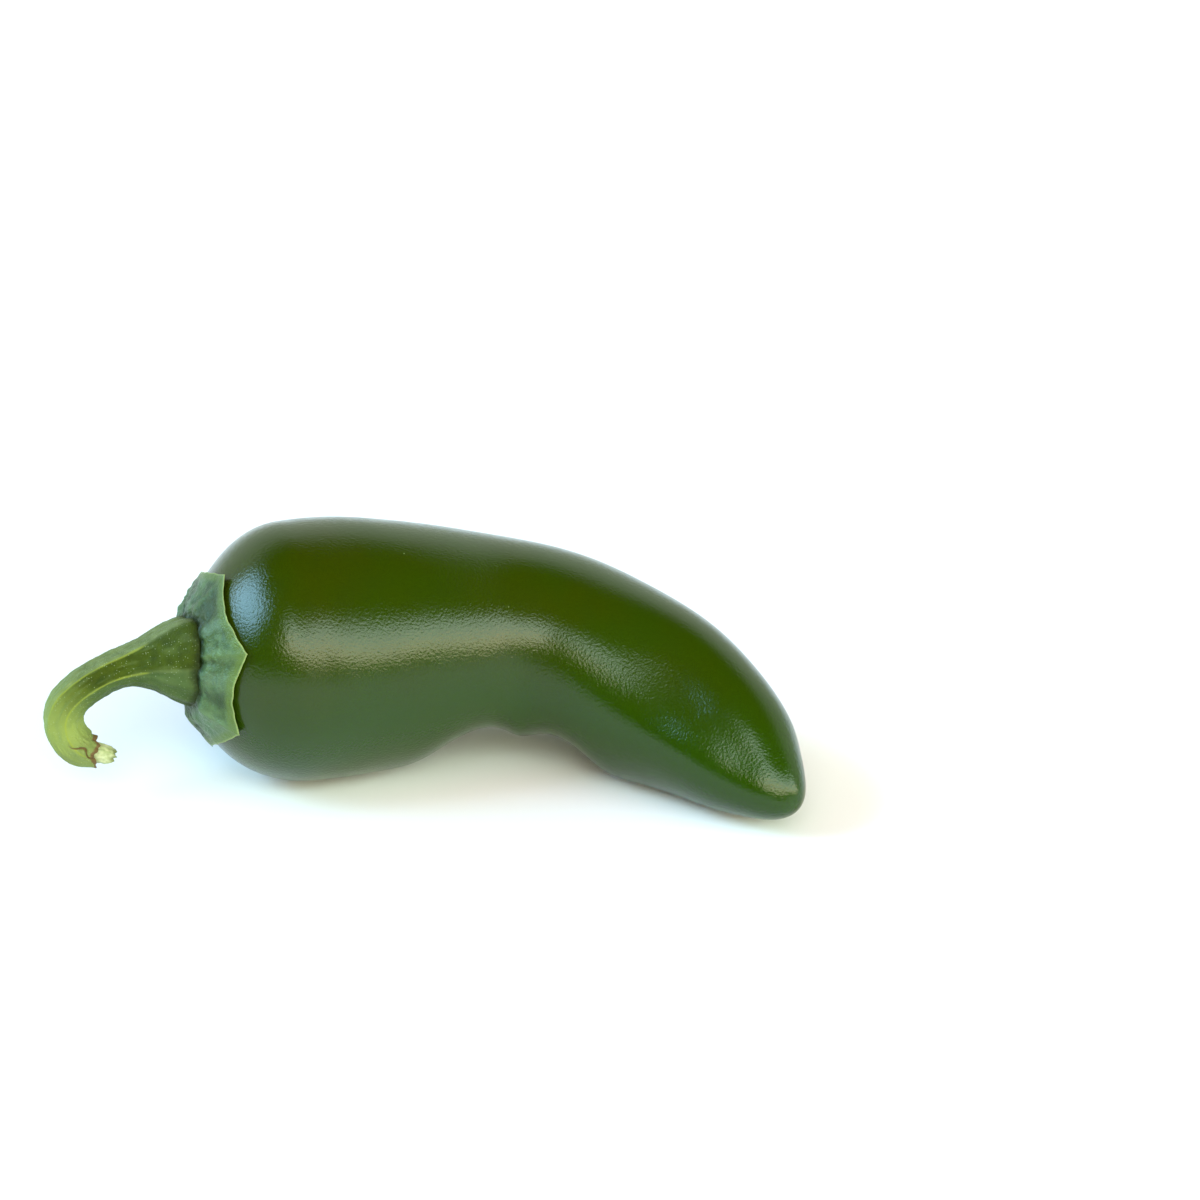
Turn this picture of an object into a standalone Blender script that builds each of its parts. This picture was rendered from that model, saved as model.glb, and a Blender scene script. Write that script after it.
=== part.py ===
"""A whole green chilli pepper of the jalapeno kind, lying on its side as picked.

The pod bends sideways along the surface it lies on, and touches that surface near its shoulder,
at the outside of its bend and near its tip. Its leafy cap, the calyx, hugs the wide end. The
stem grows out of the cap, hooks down and ends in a torn face with a stub of pale pith.

Metres, +Z up, the surface at z = 0. The stem points to -X and the pod's tip to +X.
"""

import math

import bmesh
import bpy
import numpy as np

# ---------------------------------------------------------------- driving dimensions

GAP = 0.0003                 # clearance left between pieces that touch

POD_LENGTH = 0.0865          # along the bent centreline
POD_RADIUS = 0.0168          # at the shoulder, the widest place
POD_SIDES = 40
POD_RINGS = 36
RING_EVENNESS = 0.15         # 0 bunches the rings at both ends, 1 spaces them evenly

# The pod's fullness: (share of the length, share of POD_RADIUS).
POD_PROFILE = [(0.0, 0.89), (0.1, 0.955), (0.2, 0.985), (0.3, 0.945), (0.4, 0.90), (0.5, 0.845),
               (0.6, 0.775), (0.7, 0.68), (0.8, 0.57), (0.88, 0.465), (0.94, 0.35), (1.0, 0.265)]
SHOULDER_ROUND = 0.0130      # length over which the stem end rounds off
TIP_ROUND = 0.009            # length over which the tip rounds off
ROUND_POWER = 0.43           # 0.5 is an ellipse, less is blunter

# The way the pod points, in degrees to the left of +X: (share of the length, angle).
POD_BEND = [(0.0, 16.0), (0.2, 20.0), (0.4, 13.0), (0.6, -26.0), (0.8, -47.0), (1.0, -51.0)]
STEM_END_RAISE = 0.0017      # how far the stem end lifts above a level lie
RAISE_LENGTH = 0.034         # length over which it does
STEADY_END = 0.010           # the centreline keeps the height that it has here back to the stem
BEND_MIDDLE = 0.043          # where the inside of the bend is folded most
BEND_LIFT = 0.0004           # how much the pod arches up there
BEND_REACH = 0.014           # length over which it does
HEIGHT_SMOOTHING = 0.006     # length over which the centreline's height is evened out

# Folds and swellings on the inside of the bend, low on the side:
# (place along the pod, reach along it, angle round it in degrees, spread, depth).
# The angle is 0 at the outside of the bend, 90 on top. A negative depth swells.
POD_FOLDS = [(0.0384, 0.0060, 242.0, 32.0, 0.0062),
             (0.0506, 0.0060, 242.0, 32.0, 0.0056),
             (0.0680, 0.0090, 240.0, 45.0, -0.0011)]

# The calyx's corners: (degrees round the pod, how far it comes down the pod along the axis).
CALYX_CORNERS = [(40.0, 0.0038), (102.0, 0.0042), (155.0, 0.0051), (204.0, 0.0047),
                 (266.0, 0.0038), (336.0, 0.0040)]
CALYX_SHARPNESS = 0.8        # below 1 the corners are pointed
CALYX_DIP = 0.0012           # how far the edge draws back between two corners
CALYX_THICKNESS = 0.0010     # near the stem
CALYX_RIM = 0.0006           # at its edge
CALYX_SIDES = 48
CALYX_RINGS = 7
CALYX_EYE = 0.2              # share of the way to the edge at which the first ring lies

STEM_ROOT = 0.00035           # how far the root spreads down the calyx, along the axis
STEM_ROOT_LEAN = 0.0010      # how much further it spreads on its broad side
STEM_ROOT_BROAD = 165.0      # degrees round the pod to the middle of the broad side
STEM_RADIUS = 0.0026         # over the ridges, along the hook
STEM_END_RADIUS = 0.0021     # at the torn face
STEM_NARROWS = 0.9           # share of the stem's length at which it starts to thin to that face
STEM_FLARE = 0.0040          # length over which the root narrows to the stem
STEM_GROOVE = 0.16           # share of the radius that the grooves take, at the root
STEM_END_GROOVE = 0.04       # the same at the torn face
STEM_RIDGES = 5
STEM_FIRST_RIDGE = 128.0     # degrees round the pod
STEM_SIDES = 20
STEM_RINGS = 26
STEM_BASE_RINGS = (0.35, 0.7)   # shares of the root's spread, across its hidden face

# The stem's centreline, as (distance out from the calyx, height above its root).
STEM_PATH = [(0.0, 0.0), (0.0018, 0.0), (0.0037, -0.0003), (0.0062, -0.0010), (0.0088, -0.0021),
             (0.0119, -0.0041), (0.0138, -0.0063), (0.0142, -0.0085), (0.0135, -0.0105),
             (0.0122, -0.0118), (0.0105, -0.0124)]

PITH_RADIUS = 0.0013
PITH_LENGTH = 0.0025
PITH_TAPER = [(0.0, 1.0), (0.45, 0.97), (0.8, 0.86), (1.0, 0.6)]   # (share along, share of radius)
PITH_SIDES = 12

COLLECTION = "chilli_pepper"


# ---------------------------------------------------------------- helpers

def clear_scene():
    """Remove every object, so the script starts from an empty scene."""
    for old in list(bpy.data.objects):
        bpy.data.objects.remove(old, do_unlink=True)


def new_collection(name):
    """A collection of this name, linked to the scene."""
    collection = bpy.data.collections.new(name)
    bpy.context.scene.collection.children.link(collection)
    return collection


def material(name, colour, roughness):
    """A plain Principled material."""
    made = bpy.data.materials.new(name)
    made.use_nodes = True
    shader = made.node_tree.nodes["Principled BSDF"]
    shader.inputs["Base Color"].default_value = (*colour, 1.0)
    shader.inputs["Roughness"].default_value = roughness
    shader.inputs["Metallic"].default_value = 0.0
    return made


def add_object(name, mesh, look, collection):
    """One named, smooth-shaded object with its own material."""
    mesh.materials.append(look)
    mesh.shade_smooth()
    piece = bpy.data.objects.new(name, mesh)
    collection.objects.link(piece)
    return piece


def smooth_values(stations, where):
    """Read a smooth curve through (place, value) stations at the places in where."""
    places = np.array([station[0] for station in stations])
    values = np.array([station[1] for station in stations])
    slopes = np.gradient(values, places)
    left = np.clip(np.searchsorted(places, where) - 1, 0, len(places) - 2)
    width = places[left + 1] - places[left]
    t = np.clip((where - places[left]) / width, 0.0, 1.0)
    start = (2 * t**3 - 3 * t**2 + 1) * values[left] + (t**3 - 2 * t**2 + t) * width * slopes[left]
    end = (3 * t**2 - 2 * t**3) * values[left + 1] + (t**3 - t**2) * width * slopes[left + 1]
    return start + end


def loft(name, rings, first_pole, last_pole):
    """A closed skin through rings of points, each end drawn together at a pole."""
    mesh = bpy.data.meshes.new(name)
    bm = bmesh.new()
    rows = [[bm.verts.new(point) for point in ring] for ring in rings]
    count = len(rows[0])
    for row, following in zip(rows, rows[1:]):
        for i in range(count):
            j = (i + 1) % count
            bm.faces.new((row[i], row[j], following[j], following[i]))
    for row, pole, flip in ((rows[0], first_pole, False), (rows[-1], last_pole, True)):
        tip = bm.verts.new(pole)
        for i in range(count):
            j = (i + 1) % count
            corners = (row[i], row[j], tip) if flip else (row[j], row[i], tip)
            bm.faces.new(corners)
    bmesh.ops.recalc_face_normals(bm, faces=bm.faces)
    bm.to_mesh(mesh)
    bm.free()
    return mesh


# ---------------------------------------------------------------- the pod's form

def pod_fullness(s):
    """Radius before the ends are rounded off."""
    return POD_RADIUS * smooth_values(POD_PROFILE, s / POD_LENGTH)


def end_rounding(s):
    """1 along the pod, falling to 0 at both ends."""
    near_stem = np.clip(1.0 - s / SHOULDER_ROUND, 0.0, 1.0)
    near_tip = np.clip(1.0 - (POD_LENGTH - s) / TIP_ROUND, 0.0, 1.0)
    return ((1.0 - near_stem**2) * (1.0 - near_tip**2)) ** ROUND_POWER


def pod_reach(s, angle, fullness):
    """Distance from the centreline to the skin: the fullness less the folds."""
    reach = fullness
    for place, along, round_angle, spread, depth in POD_FOLDS:
        turn = np.degrees(angle) - round_angle
        turn = (turn + 180.0) % 360.0 - 180.0
        reach = reach - depth * np.exp(-((s - place) / along) ** 2 - (turn / spread) ** 2)
    return reach


def pod_centreline(s):
    """Centre point, and unit vectors along the pod, to its left and upward, at each s."""
    steps = np.linspace(0.0, POD_LENGTH, 801)
    headings = np.radians(smooth_values(POD_BEND, steps / POD_LENGTH))
    step = steps[1]
    x = np.concatenate(([0.0], np.cumsum(np.cos(headings[:-1])) * step))
    y = np.concatenate(([0.0], np.cumsum(np.sin(headings[:-1])) * step))
    heading = np.interp(s, steps, headings)

    angles = np.radians(np.arange(0.0, 360.0, 3.0))
    steady = np.maximum(steps, STEADY_END)
    skin = pod_reach(steady[:, None], angles[None, :], pod_fullness(steady)[:, None])
    height = np.max(-skin * np.sin(angles), axis=1)
    half_window = int(2.0 * HEIGHT_SMOOTHING / step)
    window = np.exp(-(np.arange(-half_window, half_window + 1) * step / HEIGHT_SMOOTHING) ** 2)
    padded = np.pad(height, half_window, mode="edge")
    height = np.convolve(padded, window / window.sum(), mode="valid")
    height += STEM_END_RAISE * np.clip(1.0 - steps / RAISE_LENGTH, 0.0, 1.0) ** 2
    height += BEND_LIFT * np.exp(-((steps - BEND_MIDDLE) / BEND_REACH) ** 2)
    pitch = np.interp(s, steps, np.arctan(np.gradient(height, step)))

    centre = np.stack([np.interp(s, steps, x), np.interp(s, steps, y), np.interp(s, steps, height)],
                      axis=-1)
    level_along = np.stack([np.cos(heading), np.sin(heading), np.zeros_like(heading)], axis=-1)
    left = np.stack([-np.sin(heading), np.cos(heading), np.zeros_like(heading)], axis=-1)
    straight_up = np.array([0.0, 0.0, 1.0])
    climb = np.sin(pitch)[..., None]
    level = np.cos(pitch)[..., None]
    along = level * level_along + climb * straight_up
    up = level * straight_up - climb * level_along
    return centre, along, left, up


def pod_surface(s, angle):
    """Points on the pod's skin, s along it and angle round it."""
    centre, _, left, up = pod_centreline(s)
    reach = pod_reach(s, angle, pod_fullness(s)) * end_rounding(s)
    return centre + (reach * np.cos(angle))[..., None] * left + (reach * np.sin(angle))[..., None] * up


def above_pod(s, angle, distance):
    """Points the given distance outside the pod's skin."""
    nudge = 1e-5
    here = pod_surface(s, angle)
    down = pod_surface(s + nudge, angle) - here
    across = pod_surface(s, angle + nudge) - here
    normal = np.cross(across, down)
    normal = normal / np.linalg.norm(normal, axis=-1, keepdims=True)
    return here + np.asarray(distance)[..., None] * normal


# ---------------------------------------------------------------- the pieces

def make_pod(collection):
    """A sphere whose poles are the pod's two ends, stretched along the centreline."""
    bm = bmesh.new()
    bmesh.ops.create_uvsphere(bm, u_segments=POD_SIDES, v_segments=POD_RINGS, radius=1.0)
    balls = np.array([vertex.co for vertex in bm.verts])
    polar = np.arccos(np.clip(-balls[:, 2], -1.0, 1.0))
    angle = np.arctan2(balls[:, 1], balls[:, 0])
    even = polar / math.pi
    bunched = 0.5 - 0.5 * np.cos(polar)
    s = POD_LENGTH * (RING_EVENNESS * even + (1.0 - RING_EVENNESS) * bunched)
    for vertex, point in zip(bm.verts, pod_surface(s, angle)):
        vertex.co = point
    bmesh.ops.recalc_face_normals(bm, faces=bm.faces)
    mesh = bpy.data.meshes.new("pod")
    bm.to_mesh(mesh)
    bm.free()
    return add_object("pod", mesh, material("pod_skin", (0.045, 0.105, 0.012), 0.28), collection)


def calyx_reach(degrees):
    """How far the calyx's edge comes down the pod at each angle round it."""
    corners = np.array([corner[0] for corner in CALYX_CORNERS])
    depths = np.array([corner[1] for corner in CALYX_CORNERS])
    corners = np.concatenate((corners[-1:] - 360.0, corners, corners[:1] + 360.0))
    depths = np.concatenate((depths[-1:], depths, depths[:1]))
    before = np.clip(np.searchsorted(corners, degrees, side="right") - 1, 0, len(corners) - 2)
    t = (degrees - corners[before]) / (corners[before + 1] - corners[before])
    straight = depths[before] + (depths[before + 1] - depths[before]) * t
    return straight - CALYX_DIP * np.sin(math.pi * t) ** CALYX_SHARPNESS


def above_calyx(s, angle, distance):
    """Points the given distance outside the calyx's skin, which thins towards its edge."""
    share = np.sqrt(s / calyx_reach(np.degrees(angle) % 360.0))
    skin = GAP + CALYX_RIM + (CALYX_THICKNESS - CALYX_RIM) * (1.0 - share**2)
    return above_pod(s, angle, skin + distance)


def axis_point(distance):
    """A point on the pod's axis, this far outside its stem end."""
    centre, along, _, _ = pod_centreline(np.array([0.0]))
    return centre[0] - along[0] * distance


def make_calyx(collection):
    """A thin cap with a cornered edge, a clearance above the pod."""
    angles = np.linspace(0.0, 2.0 * math.pi, CALYX_SIDES, endpoint=False)
    reach = calyx_reach(np.degrees(angles))
    shares = np.linspace(CALYX_EYE, 1.0, CALYX_RINGS)
    inner = [above_pod(reach * share**2, angles, np.full(CALYX_SIDES, GAP)) for share in shares]
    outer = [above_calyx(reach * share**2, angles, 0.0) for share in shares]
    mesh = loft("calyx", inner + outer[::-1], axis_point(GAP), axis_point(GAP + CALYX_THICKNESS))
    return add_object("calyx", mesh, material("calyx_leaf", (0.10, 0.19, 0.05), 0.55), collection)


def stem_line():
    """Points along the stem's centreline, with the direction and the section's two axes there."""
    root = axis_point(GAP + CALYX_THICKNESS + GAP)
    outward = (root - axis_point(0.0)) / np.linalg.norm(root - axis_point(0.0))
    straight_up = np.array([0.0, 0.0, 1.0])
    side = np.cross(straight_up, outward)
    side = side / np.linalg.norm(side)
    places = np.linspace(0.0, 1.0, len(STEM_PATH))
    fine = np.linspace(0.0, 1.0, STEM_RINGS)
    out = smooth_values([(t, point[0]) for t, point in zip(places, STEM_PATH)], fine)
    rise = smooth_values([(t, point[1]) for t, point in zip(places, STEM_PATH)], fine)
    points = root + out[:, None] * outward + rise[:, None] * straight_up
    run = np.gradient(points, axis=0)
    forward = run / np.linalg.norm(run, axis=1, keepdims=True)
    section_up = np.cross(forward, side)
    length = np.concatenate(([0.0], np.cumsum(np.linalg.norm(np.diff(points, axis=0), axis=1))))
    return points, forward, side, section_up, length


def make_stem(collection):
    """A ridged, tapering tube whose root spreads over the calyx, and which hooks down."""
    points, _, side, section_up, length = stem_line()
    angles = np.linspace(0.0, 2.0 * math.pi, STEM_SIDES, endpoint=False)
    groove = 0.5 - 0.5 * np.cos(STEM_RIDGES * (angles - np.radians(STEM_FIRST_RIDGE)))

    broad = 0.5 + 0.5 * np.cos(angles - np.radians(STEM_ROOT_BROAD))
    spread = (STEM_ROOT + STEM_ROOT_LEAN * broad**2) * (1.0 - STEM_GROOVE * groove)
    base = [above_calyx(spread * share**2, angles, GAP) for share in STEM_BASE_RINGS]
    root = above_calyx(spread, angles, GAP)

    share = length / length[-1]
    narrowing = np.clip((share - STEM_NARROWS) / (1.0 - STEM_NARROWS), 0.0, 1.0)
    radii = STEM_RADIUS + (STEM_END_RADIUS - STEM_RADIUS) * narrowing
    depth = STEM_GROOVE + (STEM_END_GROOVE - STEM_GROOVE) * share
    flare = np.exp(-(length / STEM_FLARE) ** 2)
    tube = []
    for i, point in enumerate(points):
        spokes = radii[i] * (1.0 - depth[i] * groove)
        ring = point - (spokes * np.cos(angles))[:, None] * side
        ring = ring + (spokes * np.sin(angles))[:, None] * section_up[i]
        carried = root + (point - points[0])
        tube.append(ring + flare[i] * (carried - ring))
    mesh = loft("stem", base + tube, points[0], points[-1])
    return add_object("stem", mesh, material("stem_bark", (0.13, 0.19, 0.03), 0.5), collection)


def make_pith(collection):
    """A blunt stub that stands out of the stem's torn face."""
    points, forward, side, section_up, _ = stem_line()
    way = forward[-1]
    angles = np.linspace(0.0, 2.0 * math.pi, PITH_SIDES, endpoint=False)
    start = points[-1] + way * GAP
    rings = []
    for share, width in PITH_TAPER:
        reach = PITH_RADIUS * width
        ring = start + way * (PITH_LENGTH * share) + (reach * np.cos(angles))[:, None] * side
        rings.append(ring + (reach * np.sin(angles))[:, None] * section_up[-1])
    mesh = loft("stem_pith", rings, start, start + way * PITH_LENGTH)
    return add_object("stem_pith", mesh, material("stem_core", (0.62, 0.72, 0.42), 0.6), collection)


def centre_on_floor(pieces):
    """Move every mesh so that the bottom centre of their common box is at the origin."""
    corners = np.array([vertex.co for piece in pieces for vertex in piece.data.vertices])
    low = corners.min(axis=0)
    high = corners.max(axis=0)
    shift = np.array([(low[0] + high[0]) / 2.0, (low[1] + high[1]) / 2.0, low[2]])
    for piece in pieces:
        for vertex in piece.data.vertices:
            vertex.co = np.array(vertex.co) - shift


def main():
    clear_scene()
    collection = new_collection(COLLECTION)
    pieces = [make_pod(collection), make_calyx(collection), make_stem(collection), make_pith(collection)]
    centre_on_floor(pieces)


main()
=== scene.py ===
# %% [markdown]
# # A whole green chilli pepper
# The pepper lies on its side on a pale table. It has four pieces: the glossy pod, the leafy cap
# called the calyx, the ridged stem with its hook, and the pale pith that shows where the stem
# was torn off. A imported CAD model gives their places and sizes. This lesson builds a finer skin
# for each piece out of the same formulas, and gives each skin its own material.

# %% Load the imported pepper
import itertools
import math

import bpy
import numpy as np
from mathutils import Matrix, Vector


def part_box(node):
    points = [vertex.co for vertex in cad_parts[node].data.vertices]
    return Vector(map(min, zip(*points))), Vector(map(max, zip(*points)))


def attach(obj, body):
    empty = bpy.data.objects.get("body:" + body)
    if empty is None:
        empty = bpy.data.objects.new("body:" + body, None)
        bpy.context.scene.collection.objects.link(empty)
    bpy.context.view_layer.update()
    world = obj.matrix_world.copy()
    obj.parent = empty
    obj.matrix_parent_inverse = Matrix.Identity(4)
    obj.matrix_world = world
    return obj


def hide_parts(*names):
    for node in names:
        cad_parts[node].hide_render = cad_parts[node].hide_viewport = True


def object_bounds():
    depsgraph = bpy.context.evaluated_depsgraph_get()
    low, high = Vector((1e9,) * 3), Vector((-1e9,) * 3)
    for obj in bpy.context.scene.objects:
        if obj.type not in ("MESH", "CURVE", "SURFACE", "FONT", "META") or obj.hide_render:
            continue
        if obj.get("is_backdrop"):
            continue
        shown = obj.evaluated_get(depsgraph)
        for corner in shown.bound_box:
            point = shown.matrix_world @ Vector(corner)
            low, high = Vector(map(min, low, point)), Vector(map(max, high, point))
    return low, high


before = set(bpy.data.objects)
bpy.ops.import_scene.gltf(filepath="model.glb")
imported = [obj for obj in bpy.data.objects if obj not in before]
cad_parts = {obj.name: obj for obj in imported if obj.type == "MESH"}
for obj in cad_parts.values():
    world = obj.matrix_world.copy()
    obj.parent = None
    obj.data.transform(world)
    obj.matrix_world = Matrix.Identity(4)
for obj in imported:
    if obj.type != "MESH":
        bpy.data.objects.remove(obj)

cad_low, cad_high = (np.array(corner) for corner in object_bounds())
cad_size = cad_high - cad_low
cad_middle = (cad_low + cad_high) / 2.0
print("pieces:", sorted(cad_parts), "size in mm:", (cad_size * 1000.0).round(1))

# %% [markdown]
# ## Helpers for form
# A natural skin is a smooth shape with smaller unevenness on it. The first helpers read a smooth
# curve through a few stations, the next ones give soft random unevenness, and the last turns a
# grid of points into a closed mesh. Numpy works on whole grids at once, which is short and fast.

# %% Read a smooth curve
def smooth_values(stations, where):
    """A curve through (place, value) stations, read at the places in where.

    Between two stations it is the cubic whose slopes at both ends are the average slopes there.
    """
    places = np.array([station[0] for station in stations])
    values = np.array([station[1] for station in stations])
    slopes = np.gradient(values, places)
    left = np.clip(np.searchsorted(places, where) - 1, 0, len(places) - 2)
    width = places[left + 1] - places[left]
    t = np.clip((where - places[left]) / width, 0.0, 1.0)
    start = (2 * t**3 - 3 * t**2 + 1) * values[left] + (t**3 - 2 * t**2 + t) * width * slopes[left]
    end = (3 * t**2 - 2 * t**3) * values[left + 1] + (t**3 - t**2) * width * slopes[left + 1]
    return start + end


def ease(values, low, high):
    """0 below low, 1 above high and an S-shaped rise between them."""
    t = np.clip((values - low) / (high - low), 0.0, 1.0)
    return t * t * (3.0 - 2.0 * t)


print("eased quarters:", ease(np.array([0.0, 0.25, 0.5, 0.75, 1.0]), 0.0, 1.0))

# %% Make soft unevenness
LATTICE = 32


def unevenness(points, size, seed):
    """Soft random heights from -1 to 1, whose bumps are about size across.

    Random values sit on the corners of a cubic lattice. Each point blends the eight corners
    round it, and each share follows an S-curve, so that the heights have no creases.
    """
    values = np.random.RandomState(seed).uniform(-1.0, 1.0, (LATTICE, LATTICE, LATTICE))
    place = points / size
    cell = np.floor(place).astype(int)
    part = place - cell
    part = part * part * (3.0 - 2.0 * part)
    total = np.zeros(points.shape[:-1])
    for corner in itertools.product((0, 1), repeat=3):
        corner = np.array(corner)
        share = np.prod(np.where(corner, part, 1.0 - part), axis=-1)
        i, j, k = np.moveaxis((cell + corner) % LATTICE, -1, 0)
        total += share * values[i, j, k]
    return total


def on_circle(angle):
    """Points on a circle of radius 1. Unevenness read there changes only with the angle."""
    return np.stack((np.cos(angle), np.sin(angle), np.zeros_like(angle)), axis=-1)


def layered_unevenness(points, layers):
    """The sum of several kinds of unevenness: each layer is (size, seed, weight)."""
    return sum(weight * unevenness(points, size, seed) for size, seed, weight in layers)


quarter_turns = np.radians([0.0, 90.0, 180.0, 270.0])
print("unevenness at four quarter turns:", unevenness(on_circle(quarter_turns), 0.5, 1).round(2))


# %% Turn a grid of points into a closed piece
def closed_skin(name, rings, first_pole, last_pole, marks=None):
    """A closed mesh through rings of points: rows along the piece, columns round it.

    Neighbouring rows are joined by four-sided faces, and each end row by triangles to its pole.
    If the volume that the faces enclose comes out negative they point inwards, so they are
    turned round. Each mark is a named value at every point, for the material to read.
    """
    rows, columns, _ = rings.shape
    points = np.concatenate((rings.reshape(-1, 3), [first_pole, last_pole]))
    index = np.arange(rows * columns).reshape(rows, columns)
    after = np.roll(index, -1, axis=1)
    first = np.full(columns, rows * columns)
    quads = np.stack((index[:-1], after[:-1], after[1:], index[1:]), axis=-1).reshape(-1, 4)
    fans = np.concatenate((np.stack((after[0], index[0], first), axis=-1),
                           np.stack((index[-1], after[-1], first + 1), axis=-1)))
    triangles = np.concatenate((quads[:, :3], quads[:, [0, 2, 3]], fans))
    a, b, c = (points[triangles[:, corner]] for corner in range(3))
    volume = np.sum(a * np.cross(b, c)) / 6.0
    if volume < 0.0:
        quads = quads[:, ::-1]
        fans = fans[:, ::-1]
    mesh = bpy.data.meshes.new(name)
    mesh.from_pydata(points, [], quads.tolist() + fans.tolist())
    mesh.shade_smooth()
    for mark, values in (marks or {}).items():
        values = np.broadcast_to(values, (rows, columns))
        ends = [values[0].mean(), values[-1].mean()]
        attribute = mesh.attributes.new(mark, "FLOAT", "POINT")
        attribute.data.foreach_set("value", np.concatenate((values.ravel(), ends)).astype(np.float32))
    piece = bpy.data.objects.new(name, mesh)
    bpy.context.scene.collection.objects.link(piece)
    print(name, len(triangles), "triangles,", round(abs(volume) * 1e6, 3), "cubic centimetres")
    return piece


print("helpers for form are ready")


# %% [markdown]
# ## The pod's form
# A pepper pod is a round body along a bent centreline. It is fullest at the shoulder, tapers to
# a blunt tip, and is folded in on the inside of its bend. It lies on the table, so the
# centreline's height at each place is however far the skin reaches down there. These sizes and
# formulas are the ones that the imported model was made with.

# %% Sizes of the pod
UP = np.array([0.0, 0.0, 1.0])
GAP = 0.0003
POD_LENGTH = 0.0865
POD_RADIUS = 0.0168
# How full the pod is: (share of the length, share of the radius).
POD_PROFILE = [(0.0, 0.89), (0.1, 0.955), (0.2, 0.985), (0.3, 0.945), (0.4, 0.90), (0.5, 0.845),
               (0.6, 0.775), (0.7, 0.68), (0.8, 0.57), (0.88, 0.465), (0.94, 0.35), (1.0, 0.265)]
SHOULDER_ROUND = 0.0130
TIP_ROUND = 0.009
ROUND_POWER = 0.43
# The way the pod points: (share of the length, degrees to the left of +X).
POD_BEND = [(0.0, 16.0), (0.2, 20.0), (0.4, 13.0), (0.6, -26.0), (0.8, -47.0), (1.0, -51.0)]
STEM_END_RAISE = 0.0017
RAISE_LENGTH = 0.034
STEADY_END = 0.010
BEND_MIDDLE = 0.043
BEND_LIFT = 0.0004
BEND_REACH = 0.014
HEIGHT_SMOOTHING = 0.006
# Folds on the inside of the bend: (place along the pod, reach, angle round it, spread, depth).
POD_FOLDS = [(0.0384, 0.0060, 242.0, 32.0, 0.0062),
             (0.0506, 0.0060, 242.0, 32.0, 0.0056),
             (0.0680, 0.0090, 240.0, 45.0, -0.0011)]
print("pod:", POD_LENGTH * 1000.0, "mm round its bend,", 2000.0 * POD_RADIUS, "mm across")


# %% How far the pod reaches from its centreline
def pod_fullness(s):
    """Radius before the ends are rounded off."""
    return POD_RADIUS * smooth_values(POD_PROFILE, s / POD_LENGTH)


def end_rounding(s):
    """1 along the pod, falling to 0 at both ends like a blunt ellipse."""
    near_stem = np.clip(1.0 - s / SHOULDER_ROUND, 0.0, 1.0)
    near_tip = np.clip(1.0 - (POD_LENGTH - s) / TIP_ROUND, 0.0, 1.0)
    return ((1.0 - near_stem**2) * (1.0 - near_tip**2)) ** ROUND_POWER


def pod_reach(s, angle, fullness):
    """The fullness, less a bell-shaped hollow for each fold."""
    reach = fullness
    for place, along, round_angle, spread, depth in POD_FOLDS:
        turn = (np.degrees(angle) - round_angle + 180.0) % 360.0 - 180.0
        reach = reach - depth * np.exp(-((s - place) / along) ** 2 - (turn / spread) ** 2)
    return reach


print("reach half way along:", round(float(pod_fullness(POD_LENGTH / 2.0)) * 1000.0, 2), "mm")

# %% The pod's centreline
PATH_STEPS = 801
ROUND_STEP = 3.0      # degrees between the directions in which the skin is felt
POD_SHIFT = np.zeros(3)


def pod_centreline(s):
    """Centre point and unit vectors along the pod, to its left and upward, at each s.

    The level path adds up short steps in the direction of the bend. Its height is how far the
    skin reaches down, evened out, and its pitch is the slope of that height.
    """
    steps = np.linspace(0.0, POD_LENGTH, PATH_STEPS)
    headings = np.radians(smooth_values(POD_BEND, steps / POD_LENGTH))
    step = steps[1]
    x = np.concatenate(([0.0], np.cumsum(np.cos(headings[:-1])) * step))
    y = np.concatenate(([0.0], np.cumsum(np.sin(headings[:-1])) * step))
    heading = np.interp(s, steps, headings)
    angles = np.radians(np.arange(0.0, 360.0, ROUND_STEP))
    steady = np.maximum(steps, STEADY_END)
    skin = pod_reach(steady[:, None], angles[None, :], pod_fullness(steady)[:, None])
    height = np.max(-skin * np.sin(angles), axis=1)
    half_window = int(2.0 * HEIGHT_SMOOTHING / step)
    window = np.exp(-(np.arange(-half_window, half_window + 1) * step / HEIGHT_SMOOTHING) ** 2)
    padded = np.pad(height, half_window, mode="edge")
    height = np.convolve(padded, window / window.sum(), mode="valid")
    height += STEM_END_RAISE * np.clip(1.0 - steps / RAISE_LENGTH, 0.0, 1.0) ** 2
    height += BEND_LIFT * np.exp(-((steps - BEND_MIDDLE) / BEND_REACH) ** 2)
    pitch = np.interp(s, steps, np.arctan(np.gradient(height, step)))
    centre = np.stack([np.interp(s, steps, path) for path in (x, y, height)], axis=-1)
    flat = np.zeros_like(heading)
    level_along = np.stack([np.cos(heading), np.sin(heading), flat], axis=-1)
    left = np.stack([-np.sin(heading), np.cos(heading), flat], axis=-1)
    climb = np.sin(pitch)[..., None]
    level = np.cos(pitch)[..., None]
    along = level * level_along + climb * UP
    up = level * UP - climb * level_along
    return centre + POD_SHIFT, along, left, up


print("height of the centreline at the stem:", (pod_centreline(np.zeros(1))[0][0, 2] * 1000.0).round(2), "mm")


# %% The pod's plain skin
def pod_surface(s, angle):
    """The centre, plus the reach turned round the centreline by the angle."""
    centre, _, left, up = pod_centreline(s)
    reach = pod_reach(s, angle, pod_fullness(s)) * end_rounding(s)
    return centre + (reach * np.cos(angle))[..., None] * left + (reach * np.sin(angle))[..., None] * up


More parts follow.
